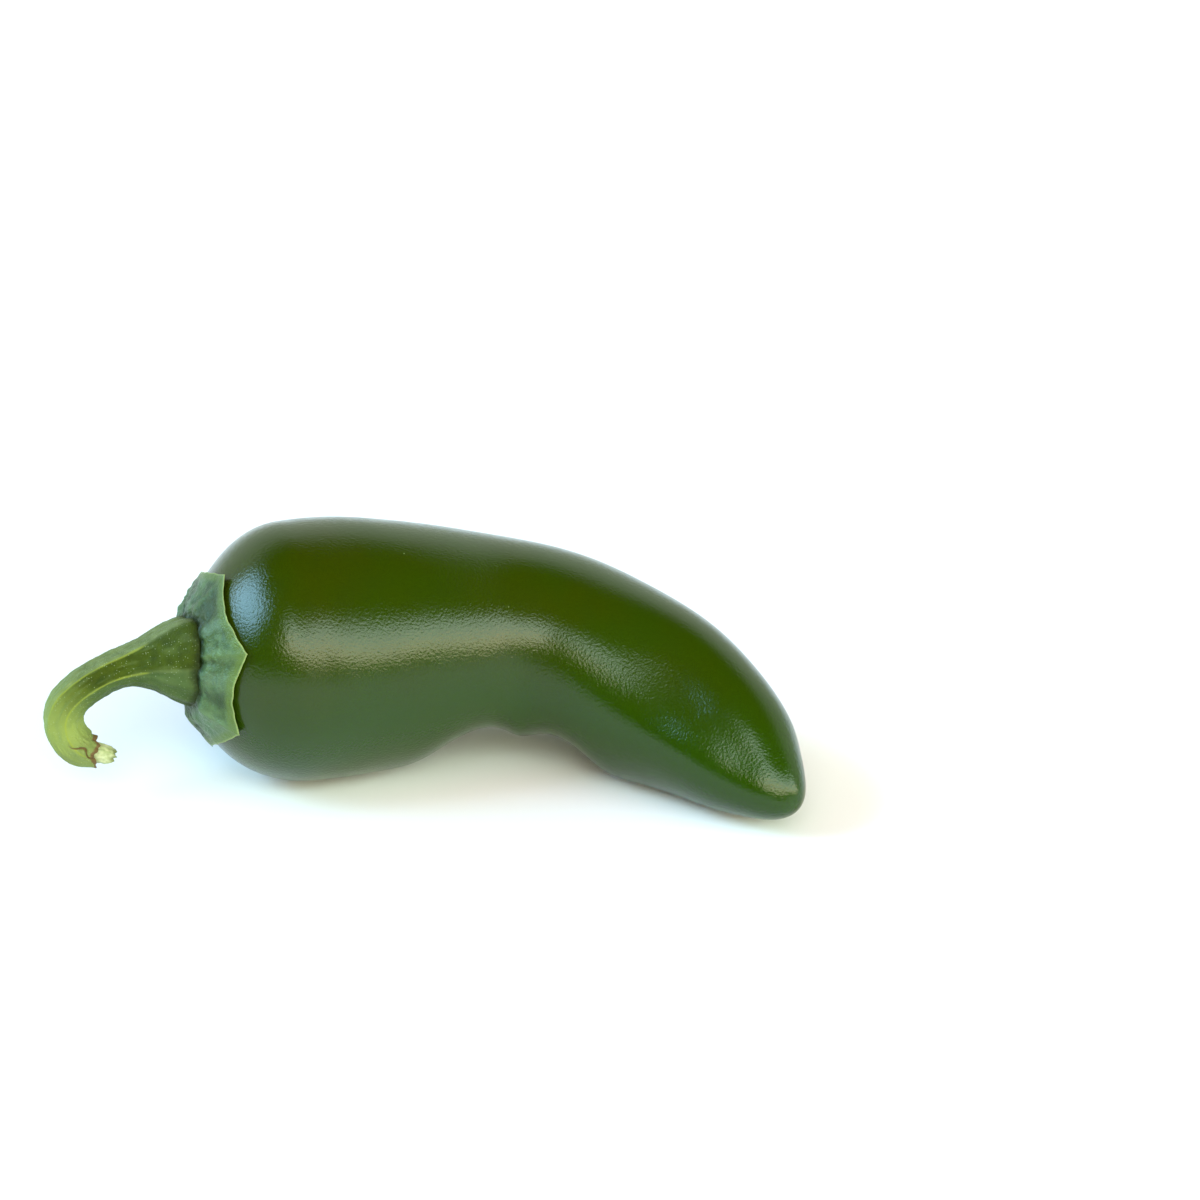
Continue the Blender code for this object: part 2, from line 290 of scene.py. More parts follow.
def above_pod(s, angle, distance):
    """Points this far outside the skin, along the cross product of its two directions."""
    nudge = 1e-5
    here = pod_surface(s, angle)
    down = pod_surface(s + nudge, angle) - here
    across = pod_surface(s, angle + nudge) - here
    normal = np.cross(across, down)
    normal = normal / np.linalg.norm(normal, axis=-1, keepdims=True)
    return here + np.asarray(distance)[..., None] * normal


crown = pod_surface(np.array([POD_LENGTH / 2.0]), np.array([math.pi / 2.0]))[0]
print("top of the plain skin half way along, in mm:", (crown * 1000.0).round(1))

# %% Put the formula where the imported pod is
POD_ROWS = 330
POD_COLUMNS = 220
RING_EVENNESS = 0.15
polar = np.linspace(0.0, math.pi, POD_ROWS + 2)[1:-1]
pod_s = POD_LENGTH * (RING_EVENNESS * polar / math.pi
                      + (1.0 - RING_EVENNESS) * (0.5 - 0.5 * np.cos(polar)))
pod_angles = np.linspace(0.0, 2.0 * math.pi, POD_COLUMNS, endpoint=False)
s_grid, angle_grid = np.meshgrid(pod_s, pod_angles, indexing="ij")
plain = pod_surface(s_grid, angle_grid).reshape(-1, 3)
pod_low, pod_high = (np.array(corner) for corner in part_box("pod"))
POD_SHIFT = (pod_low + pod_high - plain.min(axis=0) - plain.max(axis=0)) / 2.0
print("the pod's formula is off by", ((plain.max(axis=0) - plain.min(axis=0)
                                       - pod_high + pod_low) * 1e6).round(), "micrometres")

# %% [markdown]
# ## The pod
# A real pod isn't quite round. It has soft lobes where the walls inside meet the skin, and
# shallow, bell-shaped dents that bend the long highlight. Most are pressed into the plain form.
# Only on the inside of the bend does the skin swell past it, by less than a millimetre, which
# softens the fold there. All this could be sculpted by hand, but adding heights to a formula
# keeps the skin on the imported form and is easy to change.

# %% Dents and swellings
# Each dent: (place along the pod, angle round it, reach along, reach round in degrees, depth).
# A negative depth swells the skin instead.
SHOULDER_DENTS = [(0.013, 160.0, 0.002, 30.0, 0.0004), (0.019, 140.0, 0.005, 40.0, 0.0008)]
BEND_DENT = (0.047, 180.0, 0.010, 45.0, 0.0014)
BEND_CREST = (0.055, 130.0, 0.010, 45.0, -0.0006)
TIP_DENTS = [(0.069, 133.0, 0.010, 35.0, 0.0021), (0.079, 135.0, 0.004, 40.0, 0.0006)]
ARCH_SWELLS = [(0.040, 235.0, 0.006, 45.0, -0.0006), (0.049, 235.0, 0.006, 45.0, -0.0013),
               (0.058, 232.0, 0.006, 32.0, -0.0006)]
ARCH_DENT = (0.045, 280.0, 0.011, 26.0, 0.0015)
POD_DENTS = SHOULDER_DENTS + [BEND_DENT, BEND_CREST] + TIP_DENTS + ARCH_SWELLS + [ARCH_DENT]
print("dents and swellings:", len(POD_DENTS))

# %% Lobes and fine unevenness
LOBES = 3
LOBE_DEPTH = 0.00030
LOBE_TURN = 30.0
LOBE_FADE = 0.02      # length over which the lobes fade out at both ends
ROLL_SIZE = 0.011
ROLL_DEPTH = 0.00008
ROLL_SEED = 3
RIPPLE_SIZE = 0.0042
RIPPLE_DEPTH = 0.000006
RIPPLE_SEED = 4


def pod_relief(s, angle, points):
    """How far the skin stands off the plain form.

    It is a cosine wave round the pod for the lobes, pressed inwards, and soft unevenness in two
    sizes, less a bell-shaped hollow for each dent.
    """
    degrees = np.degrees(angle)
    lobe = 0.5 - 0.5 * np.cos(np.radians(LOBES * (degrees - LOBE_TURN)))
    relief = -LOBE_DEPTH * lobe * ease(s, 0.0, LOBE_FADE) * ease(POD_LENGTH - s, 0.0, LOBE_FADE)
    relief += ROLL_DEPTH * (unevenness(points, ROLL_SIZE, ROLL_SEED) - 1.0)
    relief += RIPPLE_DEPTH * (unevenness(points, RIPPLE_SIZE, RIPPLE_SEED) - 1.0)
    for place, turn, along, spread, depth in POD_DENTS:
        away = (degrees - turn + 180.0) % 360.0 - 180.0
        relief -= depth * np.exp(-((s - place) / along) ** 2 - (away / spread) ** 2)
    return relief


print(LOBES, "lobes, pressed in by up to", LOBE_DEPTH * 1000.0, "mm")

# %% Make the pod
plain = pod_surface(s_grid, angle_grid)
pod_heights = pod_relief(s_grid, angle_grid, plain)
pod_rings = above_pod(s_grid, angle_grid, pod_heights)
pod = closed_skin("pod_body", pod_rings, pod_rings[0].mean(axis=0), pod_rings[-1].mean(axis=0),
                  {"height": plain[..., 2] / pod_high[2]})
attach(pod, "root")
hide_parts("pod")
print("relief in mm:", (pod_heights.min() * 1000.0).round(2), "to", (pod_heights.max() * 1000.0).round(2))

# %% [markdown]
# ## The calyx
# The cap is a thin, slightly leathery leaf that hugs the pod. Its edge has six corners with a
# vein running to each, it draws back between them, and it lifts off the pod a little, so its
# pale rim shows. A flat leaf could be wrapped onto the pod with a modifier, but a grid in (angle,
# share of the way to the edge) keeps an exact gap to it. The grid is made once for the outside
# and once for the underside, and closed at the rim.

# %% Sizes of the calyx
CALYX_CORNERS = [(40.0, 0.0038), (102.0, 0.0042), (155.0, 0.0051), (204.0, 0.0047),
                 (266.0, 0.0038), (336.0, 0.0040)]
CALYX_SHARPNESS = 0.8
CALYX_DIP = 0.0012
CALYX_THICKNESS = 0.0010
CALYX_RIM = 0.0006


def calyx_reach(degrees):
    """The edge runs straight from corner to corner, less a sine arch that draws it back."""
    corners = np.array([corner[0] for corner in CALYX_CORNERS])
    depths = np.array([corner[1] for corner in CALYX_CORNERS])
    corners = np.concatenate((corners[-1:] - 360.0, corners, corners[:1] + 360.0))
    depths = np.concatenate((depths[-1:], depths, depths[:1]))
    before = np.clip(np.searchsorted(corners, degrees, side="right") - 1, 0, len(corners) - 2)
    t = (degrees - corners[before]) / (corners[before + 1] - corners[before])
    straight = depths[before] + (depths[before + 1] - depths[before]) * t
    return straight - CALYX_DIP * np.sin(math.pi * t) ** CALYX_SHARPNESS


def above_calyx(s, angle, distance):
    """Points this far outside the calyx's plain skin, which thins towards its edge."""
    share = np.sqrt(s / calyx_reach(np.degrees(angle) % 360.0))
    skin = GAP + CALYX_RIM + (CALYX_THICKNESS - CALYX_RIM) * (1.0 - share**2)
    return above_pod(s, angle, skin + distance)


def axis_point(distance):
    """A point on the pod's axis, this far outside its stem end."""
    centre, along, _, _ = pod_centreline(np.array([0.0]))
    return centre[0] - along[0] * distance


print("calyx corners at", [corner for corner, _ in CALYX_CORNERS], "degrees")

# %% The line where the stem grows out of the calyx
STEM_ROOT = 0.00035
STEM_ROOT_LEAN = 0.0010
STEM_ROOT_BROAD = 165.0
STEM_ROOT_UNEVEN = 0.20
STEM_ROOT_LAYERS = [(0.45, 41, 0.6), (0.14, 42, 0.4)]
STEM_GROOVE = 0.22
STEM_RIDGES = 5
STEM_FIRST_RIDGE = 128.0


def root_spread(angle):
    """How far down the pod's skin the stem's root reaches: farthest on its broad side."""
    broad = 0.5 + 0.5 * np.cos(angle - math.radians(STEM_ROOT_BROAD))
    between_ridges = 0.5 - 0.5 * np.cos(STEM_RIDGES * (angle - math.radians(STEM_FIRST_RIDGE)))
    uneven = layered_unevenness(on_circle(angle), STEM_ROOT_LAYERS)
    spread = (STEM_ROOT + STEM_ROOT_LEAN * broad**2) * (1.0 - STEM_GROOVE * between_ridges)
    return spread * (1.0 + STEM_ROOT_UNEVEN * uneven)


print("the root spreads up to", (root_spread(math.radians(STEM_ROOT_BROAD)) * 1000.0).round(1), "mm")

# %% The calyx's grid and its uneven edge
CALYX_COLUMNS = 360
CALYX_ROWS = 90
CALYX_EYE = 0.06            # share of the way to the edge at which the first row lies
EDGE_UNEVEN = 0.018
EDGE_SIZE = 0.09
EDGE_SEED = 16

calyx_angles = np.linspace(0.0, 2.0 * math.pi, CALYX_COLUMNS, endpoint=False)
edge_unevenness = EDGE_UNEVEN * unevenness(on_circle(calyx_angles), EDGE_SIZE, EDGE_SEED)
calyx_edge = calyx_reach(np.degrees(calyx_angles)) * (1.0 + edge_unevenness)
shares = np.linspace(CALYX_EYE, 1.0, CALYX_ROWS)
share_grid, turn_grid = np.meshgrid(shares, calyx_angles, indexing="ij")
reach_grid = np.broadcast_to(calyx_edge, share_grid.shape) * share_grid**2
leaf = pod_surface(reach_grid, turn_grid)
from_axis = np.linalg.norm(leaf - axis_point(0.0), axis=-1)
print("the leaf reaches", (from_axis.max() * 1000.0).round(1), "mm from the pod's axis")

# %% Veins, pleats, wrinkles and the crease round the stem
VEIN_WIDTH = 0.00042
VEIN_FADE = (0.3, 0.5)      # shares of the way to the edge between which the veins appear
PLEAT_FADE = (0.25, 0.5)
PLEAT_SIZE = 0.17
PLEAT_SEED = 15
WRINKLE_LAYERS = [(0.0021, 11, 0.6), (0.0010, 12, 0.4)]
CRINKLE_SIZE = 0.00045
CRINKLE_SEED = 13
CREASE_WIDTH = 0.00022
COLLAR_OFFSET = 0.00055     # how far outside the crease the leaf swells into a collar
COLLAR_WIDTH = 0.00030

vein = np.zeros_like(share_grid)
for corner, _ in CALYX_CORNERS:
    away = (np.degrees(turn_grid) - corner + 180.0) % 360.0 - 180.0
    vein = np.maximum(vein, np.exp(-(np.radians(away) * from_axis / VEIN_WIDTH) ** 2))
vein = vein * ease(share_grid, *VEIN_FADE)
wrinkle = layered_unevenness(leaf, WRINKLE_LAYERS)
crinkle = unevenness(leaf, CRINKLE_SIZE, CRINKLE_SEED)
pleat = unevenness(on_circle(turn_grid), PLEAT_SIZE, PLEAT_SEED) * ease(share_grid, *PLEAT_FADE)
past_root = reach_grid - np.broadcast_to(root_spread(calyx_angles), share_grid.shape)
crease = np.exp(-(past_root / CREASE_WIDTH) ** 2) * (0.75 + 0.25 * wrinkle)
collar = np.exp(-((past_root - COLLAR_OFFSET) / COLLAR_WIDTH) ** 2) * (0.6 + 0.4 * wrinkle)
print("wrinkles from", wrinkle.min().round(2), "to", wrinkle.max().round(2))

# %% The calyx's thickness and its lifted rim
VEIN_HEIGHT = 0.00022
PLEAT_HEIGHT = 0.00028
WRINKLE_HEIGHT = 0.00030
CRINKLE_HEIGHT = 0.00013
CREASE_DEPTH = 0.00018
COLLAR_HEIGHT = 0.00022
LEAST_THICKNESS = 0.00016
RIM_LIFT = 0.00038
RIM_THICKNESS = 0.00022
RIM_START = 0.72            # share of the way to the edge at which the leaf begins to lift
LIFT_SIZE = 0.0045
LIFT_SEED = 14
CALYX_HUG = 0.00006         # gap to the pod where the leaf lies closest

near_rim = ease(share_grid, RIM_START, 1.0)
lift = RIM_LIFT * near_rim * (0.6 + 0.4 * unevenness(leaf, LIFT_SIZE, LIFT_SEED))
folds = PLEAT_HEIGHT * pleat + WRINKLE_HEIGHT * wrinkle + CRINKLE_HEIGHT * crinkle
body = RIM_THICKNESS + (CALYX_THICKNESS - RIM_THICKNESS) * (1.0 - share_grid**2)
body = body + VEIN_HEIGHT * vein * (1.0 - 0.6 * near_rim)
body = body + folds * (1.0 - 0.75 * near_rim)
body = np.maximum(body - CREASE_DEPTH * crease + COLLAR_HEIGHT * collar, LEAST_THICKNESS)
print("the leaf is", (body.min() * 1000.0).round(2), "to", (body.max() * 1000.0).round(2), "mm thick")

# %% Make the calyx
UNDERSIDE_STEP = 6          # the hidden underside keeps one row in six
MARGIN_FADE = (0.86, 0.95)
RIM_FADE = (0.974, 0.996)


def both_sides(under, over):
    """Rows from the middle out along the underside, then back in along the outside."""
    return np.concatenate((under[::UNDERSIDE_STEP], over[::-1]))


calyx_rings = both_sides(above_pod(reach_grid, turn_grid, CALYX_HUG + lift),
                         above_pod(reach_grid, turn_grid, CALYX_HUG + lift + body))
calyx_marks = {"vein": vein, "rim": ease(share_grid, *RIM_FADE), "wrinkle": wrinkle, "pleat": pleat,
               "margin": ease(share_grid, *MARGIN_FADE), "crease": crease}
calyx_marks = {mark_name: both_sides(values, values) for mark_name, values in calyx_marks.items()}
calyx = closed_skin("calyx_leaf", calyx_rings, axis_point(CALYX_HUG), axis_point(CALYX_THICKNESS),
                    calyx_marks)
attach(calyx, "root")
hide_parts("calyx")

# %% [markdown]
# ## The stem
# The stem has five ridges with flat faces between them, like a pentagon with worn corners. It
# flares where it grows out of the cap, hooks over and ends in a torn rim. A bevelled curve would
# make the hook, but its section stays the same all along. Here a profile is carried along a path
# and changes on the way: spread root, ridged stalk, round end.

# %% The stem's path
STEM_PATH = [(0.0, 0.0), (0.0018, 0.0), (0.0037, -0.0003), (0.0062, -0.0010), (0.0088, -0.0021),
             (0.0119, -0.0041), (0.0138, -0.0063), (0.0142, -0.0085), (0.0135, -0.0105),
             (0.0122, -0.0118), (0.0105, -0.0124)]
STEM_ROWS = 300


def stem_line():
    """Points along the stem's centreline, its direction and its section's two axes.

    The path lies in the upright plane through the pod's axis at its stem end.
    """
    root = axis_point(GAP + CALYX_THICKNESS + GAP)
    outward = (root - axis_point(0.0)) / np.linalg.norm(root - axis_point(0.0))
    side = np.cross(UP, outward)
    side = side / np.linalg.norm(side)
    places = np.linspace(0.0, 1.0, len(STEM_PATH))
    fine = np.linspace(0.0, 1.0, STEM_ROWS)
    out = smooth_values([(t, point[0]) for t, point in zip(places, STEM_PATH)], fine)
    rise = smooth_values([(t, point[1]) for t, point in zip(places, STEM_PATH)], fine)
    points = root + out[:, None] * outward + rise[:, None] * UP
    run = np.gradient(points, axis=0)
    forward = run / np.linalg.norm(run, axis=1, keepdims=True)
    section_up = np.cross(forward, side)
    length = np.concatenate(([0.0], np.cumsum(np.linalg.norm(np.diff(points, axis=0), axis=1))))
    return points, forward, side, section_up, length


stem_points, stem_forward, stem_side, stem_up, stem_length = stem_line()
print("the stem is", (stem_length[-1] * 1000.0).round(1), "mm long")

# %% The stem's ridges
STEM_COLUMNS = 180
RIDGE_PULL = 20.0           # degrees by which the ridges are drawn aside on one side
RIDGE_PULL_AT = 182.0
RIDGE_PULL_REACH = 60.0
STEM_TWIST = 14.0           # degrees by which the ridges turn as they leave the root
TWIST_LENGTH = 0.0075

stem_angles = np.linspace(0.0, 2.0 * math.pi, STEM_COLUMNS, endpoint=False)
stem_degrees = np.degrees(stem_angles)
distance = stem_length[:, None]
share = distance / stem_length[-1]
pulled = np.clip((stem_degrees - RIDGE_PULL_AT) / RIDGE_PULL_REACH, -1.0, 1.0)
pulled = 0.5 + 0.5 * np.cos(pulled * math.pi)
turned = (stem_angles + math.radians(RIDGE_PULL) * pulled)[None, :] - math.radians(STEM_FIRST_RIDGE)
turned = turned + math.radians(STEM_TWIST) * (1.0 - ease(distance, 0.0, TWIST_LENGTH))
half_facet = math.pi / STEM_RIDGES
within = (turned + half_facet) % (2.0 * half_facet) - half_facet
crest = 1.0 - np.abs(within) / half_facet
print(STEM_RIDGES, "ridges, the first at", STEM_FIRST_RIDGE, "degrees")

# %% The stem's plain form
STEM_RADIUS = 0.0026
STEM_END_RADIUS = 0.0021
STEM_NARROWS = 0.9
STEM_FLARE = 0.0040
STEM_END_GROOVE = 0.05
SHARP_GROOVE = 0.65         # share of the groove that leaves a sharp ridge; the rest is a wave
RIDGE_SHARPNESS = 0.6
ROOT_SINK = 0.00025         # how deep the root is sunk in the calyx

radius = STEM_RADIUS + (STEM_END_RADIUS - STEM_RADIUS) * ease(share, STEM_NARROWS, 1.0)
depth = STEM_GROOVE + (STEM_END_GROOVE - STEM_GROOVE) * share
wave = 0.5 - 0.5 * np.cos(STEM_RIDGES * turned)
groove = SHARP_GROOVE * (1.0 - crest) ** RIDGE_SHARPNESS + (1.0 - SHARP_GROOVE) * wave
spokes = radius * (1.0 - depth * groove)
stalk = (stem_points[:, None, :] - (spokes * np.cos(stem_angles))[..., None] * stem_side
         + (spokes * np.sin(stem_angles))[..., None] * stem_up[:, None, :])
root_ring = above_calyx(root_spread(stem_angles), stem_angles, -ROOT_SINK)
carried = root_ring[None] + (stem_points - stem_points[0])[:, None, :]
flare = np.exp(-(stem_length / STEM_FLARE) ** 2)[:, None, None]
stem_rings = stalk + flare * (carried - stalk)
print("stalk radius from", (spokes.min() * 1000.0).round(2), "to", (spokes.max() * 1000.0).round(2), "mm")

# %% Bark, fibres and the split above the tear
FIBRE_SIZE = 0.00022
FIBRE_SEED = 21
FIBRE_ROUND = 0.0022        # how far a turn of one radian counts for the fibres
FIBRE_ALONG = 0.16          # a step along the stem counts this much, so they come out long
FIBRE_HEIGHT = 0.00008
BARK_LAYERS = [(0.0011, 22, 0.5), (0.00045, 23, 0.35)]
BARK_HEIGHT = 0.00013
BARK_INSET = 0.00008
SPLIT_ANGLE = 186.0
SPLIT_WIDTH = 5.0
SPLIT_WANDER = 14.0
SPLIT_WAVES = 40.0
SPLIT_LENGTH = 0.0060
SPLIT_DEPTH = 0.00030

outwards = stem_rings - stem_points[:, None, :]
outwards = outwards / np.linalg.norm(outwards, axis=-1, keepdims=True)
fibre_places = np.broadcast_arrays(stem_angles * FIBRE_ROUND, distance * FIBRE_ALONG, np.zeros((1, 1)))
fibre = unevenness(np.stack(fibre_places, axis=-1), FIBRE_SIZE, FIBRE_SEED)
bark = layered_unevenness(stem_rings, BARK_LAYERS)
from_split = (stem_degrees - SPLIT_ANGLE + 180.0) % 360.0 - 180.0
from_split = from_split[None, :] + SPLIT_WANDER * np.sin(share * SPLIT_WAVES)
split = np.exp(-(from_split / SPLIT_WIDTH) ** 2) * ease(
    distance, stem_length[-1] - SPLIT_LENGTH, stem_length[-1] - 0.3 * SPLIT_LENGTH)
relief = FIBRE_HEIGHT * fibre + BARK_HEIGHT * bark * (1.0 - 0.3 * share) - SPLIT_DEPTH * split - BARK_INSET
stem_rings = stem_rings + relief[..., None] * outwards
print("bark relief down to", (relief.min() * 1000.0).round(2), "mm")

# %% The torn end and the hidden base
TEAR_LENGTH = 0.0011
TEAR_START = 0.90           # share of the stem's length at which the rim begins to be torn
TEAR_LIP = 122.0
TEAR_LIP_SPREAD = 38.0
TEAR_BACK = 0.4
TEAR_LAYERS = [(0.55, 24, 0.4), (0.2, 25, 0.25)]
TORN_CUP = [(0.9, 0.00010), (0.78, 0.00035), (0.66, 0.00055), (0.5, 0.0006), (0.3, 0.0006)]
BASE_SHARES = [0.4, 0.75]

jag = layered_unevenness(on_circle(stem_angles), TEAR_LAYERS)
lip = np.exp(-((stem_degrees - TEAR_LIP) / TEAR_LIP_SPREAD) ** 2)
tear = ease(share, TEAR_START, 1.0)[..., None] * (TEAR_LENGTH * (jag + lip - TEAR_BACK))[None, :, None]
stem_rings = stem_rings + tear * stem_forward[:, None, :]
torn_rim = stem_rings[-1]
cup_shares, cup_depths = (np.array(column)[:, None, None] for column in zip(*TORN_CUP))
cup = torn_rim.mean(axis=0) + (torn_rim - torn_rim.mean(axis=0))[None] * cup_shares
cup = cup - cup_depths * stem_forward[-1]
base_centre = stem_rings[0].mean(axis=0)
base = base_centre + (stem_rings[0] - base_centre)[None] * np.array(BASE_SHARES)[:, None, None]
print("the tear runs from", (tear.min() * 1000.0).round(2), "to", (tear.max() * 1000.0).round(2), "mm")

# %% Marks for the stem's colours
FACET_BLUR = 5.0            # degrees over which one facet's colour passes into the next
# Where the facets keep their own colours, the front one's olive is partly painted shade and the lower one's
# green carries a painted reflection.
FACET_FADE = (0.55, 0.85)   # shares of the stem's length between which the facets lose their own colours
CREST_FADE = (0.0015, 0.005)
ROOT_WIDTH = 0.0007
DRY_WIDTH = 0.0008


def facet_share(middle):
    """1 on the flat face round this angle and 0 beyond the ridges on both sides of it."""
    away = np.abs((np.degrees(turned) + STEM_FIRST_RIDGE - middle + 180.0) % 360.0 - 180.0)
    half = math.degrees(half_facet)
    return ease(away, half + FACET_BLUR, half - FACET_BLUR) * (1.0 - ease(share, *FACET_FADE))


def with_ends(values, at_base, at_cup):
    """The same mark with one value on the hidden base and one on the torn cup."""
    base_rows = np.full((len(BASE_SHARES), STEM_COLUMNS), at_base)
    cup_rows = np.full((len(TORN_CUP), STEM_COLUMNS), at_cup)
    return np.concatenate((base_rows, np.broadcast_to(values, (STEM_ROWS, STEM_COLUMNS)), cup_rows))


dry_end = ease(distance + 0.0006 * bark, stem_length[-1] - DRY_WIDTH, stem_length[-1])
# The root mark is for painted shade in the crease where the stem grows out of the calyx.
near_root = np.exp(-((distance + 0.0003 * bark) / ROOT_WIDTH) ** 2)
stem_marks = {"crest": with_ends(crest**2 * ease(distance, *CREST_FADE), 0.0, 0.0),
              "along": with_ends(share, 0.0, 1.0),
              "front": with_ends(facet_share(STEM_FIRST_RIDGE + math.degrees(half_facet)), 0.0, 0.0),
              "lower": with_ends(facet_share(STEM_FIRST_RIDGE + 3.0 * math.degrees(half_facet)), 0.0, 0.0),
              "root": with_ends(near_root, 1.0, 0.0),
              "torn": with_ends(np.maximum(dry_end, split), 0.0, 1.0),
              "fibre": with_ends(fibre, 0.0, 0.0)}
print("marks:", list(stem_marks))

# %% Make the stem
stem = closed_skin("stem_stalk", np.concatenate((base, stem_rings, cup)), base_centre,
                   cup[-1].mean(axis=0), stem_marks)
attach(stem, "root")
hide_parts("stem")

# %% [markdown]
# ## The pith
# Where the stem was pulled off, a stub of pale, stringy pith stands out of the torn bark. It is a
# short ragged plug. A cylinder would look too clean, so it is a round profile with fibre grooves,
# whose end is cut to uneven lengths.

# %% The pith's round profile
PITH_RADIUS = 0.0013
PITH_TAPER = [(0.0, 1.0), (0.45, 0.97), (0.8, 0.86), (1.0, 0.6)]
PITH_ROWS = 60
PITH_COLUMNS = 96
STRAND_SIZE = 0.22
STRAND_SEED = 33
STRAND_SHIFT = 3.0          # moves the circle to another stretch of the unevenness
STRAND_DEPTH = 0.10
STRAND_INSET = 0.04

pith_angles = np.linspace(0.0, 2.0 * math.pi, PITH_COLUMNS, endpoint=False)
pith_share = np.linspace(0.0, 1.0, PITH_ROWS)
strands = unevenness(on_circle(pith_angles) + STRAND_SHIFT, STRAND_SIZE, STRAND_SEED)
taper = smooth_values(PITH_TAPER, pith_share)[:, None]
width = PITH_RADIUS * taper * (1.0 + STRAND_DEPTH * strands[None, :] - STRAND_INSET)
print("pith radius from", (width.min() * 1000.0).round(2), "to", (width.max() * 1000.0).round(2), "mm")

# %% Make the ragged pith
PITH_LENGTH = 0.0025
PITH_SUNK = 0.0007
PITH_EVEN = 0.93            # share of the length that every strand has
RAGGED_LAYERS = [(0.0, 0.45, 31, 0.6), (7.0, 0.16, 32, 0.4)]    # (shift, size, seed, weight)
RAGGED_SHARE = 0.22
LUMP_SIZE = 0.0004
LUMP_SEED = 34
LUMP_HEIGHT = 0.00008
PITH_DIMPLE = 0.0003

ragged = sum(weight * unevenness(on_circle(pith_angles) + shift, size, seed)
             for shift, size, seed, weight in RAGGED_LAYERS)
uneven_end = (ragged[None, :] - 0.3) * ease(pith_share, 0.3, 1.0)[:, None]
reach = PITH_LENGTH * (PITH_EVEN + RAGGED_SHARE * uneven_end) + PITH_SUNK
pith_start = stem_points[-1] + stem_forward[-1] * (GAP - PITH_SUNK)
pith_rings = (pith_start + (pith_share[:, None] * reach)[..., None] * stem_forward[-1]
              - (width * np.cos(pith_angles))[..., None] * stem_side
              + (width * np.sin(pith_angles))[..., None] * stem_up[-1])
lumps = unevenness(pith_rings, LUMP_SIZE, LUMP_SEED) * ease(pith_share, 0.2, 0.6)[:, None]
pith_rings = pith_rings + (LUMP_HEIGHT * lumps)[..., None] * stem_up[-1]
pith_tip = pith_rings[-1].mean(axis=0) - PITH_DIMPLE * stem_forward[-1]
pith = closed_skin("stem_pith_stub", pith_rings, pith_rings[0].mean(axis=0), pith_tip,
                   {"along": np.broadcast_to(pith_share[:, None], width.shape),
                    "strands": np.broadcast_to(strands[None, :], width.shape)})
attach(pith, "root")
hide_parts("stem_pith")

# %% [markdown]
# ## Helpers for materials
# A material is a small graph of nodes. The helpers make a node, an empty node group or a mix of
# two colours in one line each, and the effects that several pieces share are made once, as groups.

# %% Make nodes and groups
def add_node(tree, kind, sockets=None, **settings):
    """One node with its settings; each socket gets a value or a link from another node's output."""
    made = tree.nodes.new(kind)
    for name, value in settings.items():
        setattr(made, name, value)
    for name, value in (sockets or {}).items():
        if isinstance(value, bpy.types.NodeSocket):
            tree.links.new(value, made.inputs[name])
        else:
            made.inputs[name].default_value = value
    return made


def new_group(name, inputs, outputs):
    """An empty shader node group with named number inputs and outputs, and its two end nodes."""
    group = bpy.data.node_groups.new(name, "ShaderNodeTree")
    for label, value in inputs.items():
        socket = group.interface.new_socket(label, in_out="INPUT", socket_type="NodeSocketFloat")
        socket.default_value = value
    for label in outputs:
        group.interface.new_socket(label, in_out="OUTPUT", socket_type="NodeSocketFloat")
    return group, group.nodes.new("NodeGroupInput"), group.nodes.new("NodeGroupOutput")


print("helpers for nodes and groups are ready")


# %% Mix, remap and calculate
def mixed(tree, share, first, second):
    """The output of a colour mix: first where share is 0, second where it is 1."""
    made = tree.nodes.new("ShaderNodeMix")
    made.data_type = "RGBA"
    sockets = {0: share, 6: first, 7: second}
    for place, value in sockets.items():
        if isinstance(value, bpy.types.NodeSocket):
            tree.links.new(value, made.inputs[place])
        else:
            made.inputs[place].default_value = value if place == 0 else (*value, 1.0)
    return made.outputs[2]


def remapped(tree, value, low, high, new_low=0.0, new_high=1.0):
    """The output of a node that eases low..high to new_low..new_high and stops at both."""
    made = add_node(tree, "ShaderNodeMapRange", {"Value": value, "From Min": low, "From Max": high,
                                                 "To Min": new_low, "To Max": new_high},
                    interpolation_type="SMOOTHSTEP")
    return made.outputs["Result"]


def calculated(tree, operation, first, second):
    """The output of a maths node."""
    made = add_node(tree, "ShaderNodeMath", operation=operation)
    for place, value in enumerate((first, second)):
        if isinstance(value, bpy.types.NodeSocket):
            tree.links.new(value, made.inputs[place])
        else:
            made.inputs[place].default_value = value
    return made.outputs[0]


def painted(tree, colour, paint, share, strength):
    """The colour with paint over it, by share times strength."""
    return mixed(tree, calculated(tree, "MULTIPLY", share, strength), colour, paint)


print("helpers for colours are ready")

# %% Soft patches, fine cells and specks
def pattern_group(name, inputs, output, kind, **sockets):
    """A group round one pattern node, which reads object coordinates divided by the group's Size."""
    group, given, result = new_group(name, {"Size": 0.001, **inputs}, [output])
    where = add_node(group, "ShaderNodeTexCoord").outputs["Object"]
    scale = calculated(group, "DIVIDE", 1.0, given.outputs["Size"])
    pattern = add_node(group, kind, {"Vector": where, "Scale": scale, **sockets})
    return group, given, result, pattern


patches, given, result, noise = pattern_group("soft_patches", {}, "Mask", "ShaderNodeTexNoise",
                                              Detail=3.0, Roughness=0.5)
patches.links.new(remapped(patches, noise.outputs["Fac"], 0.25, 0.75), result.inputs["Mask"])

cells, given, result, noise = pattern_group("fine_cells", {}, "Height", "ShaderNodeTexNoise",
                                            Detail=2.0, Roughness=0.55)
cells.links.new(noise.outputs["Fac"], result.inputs["Height"])

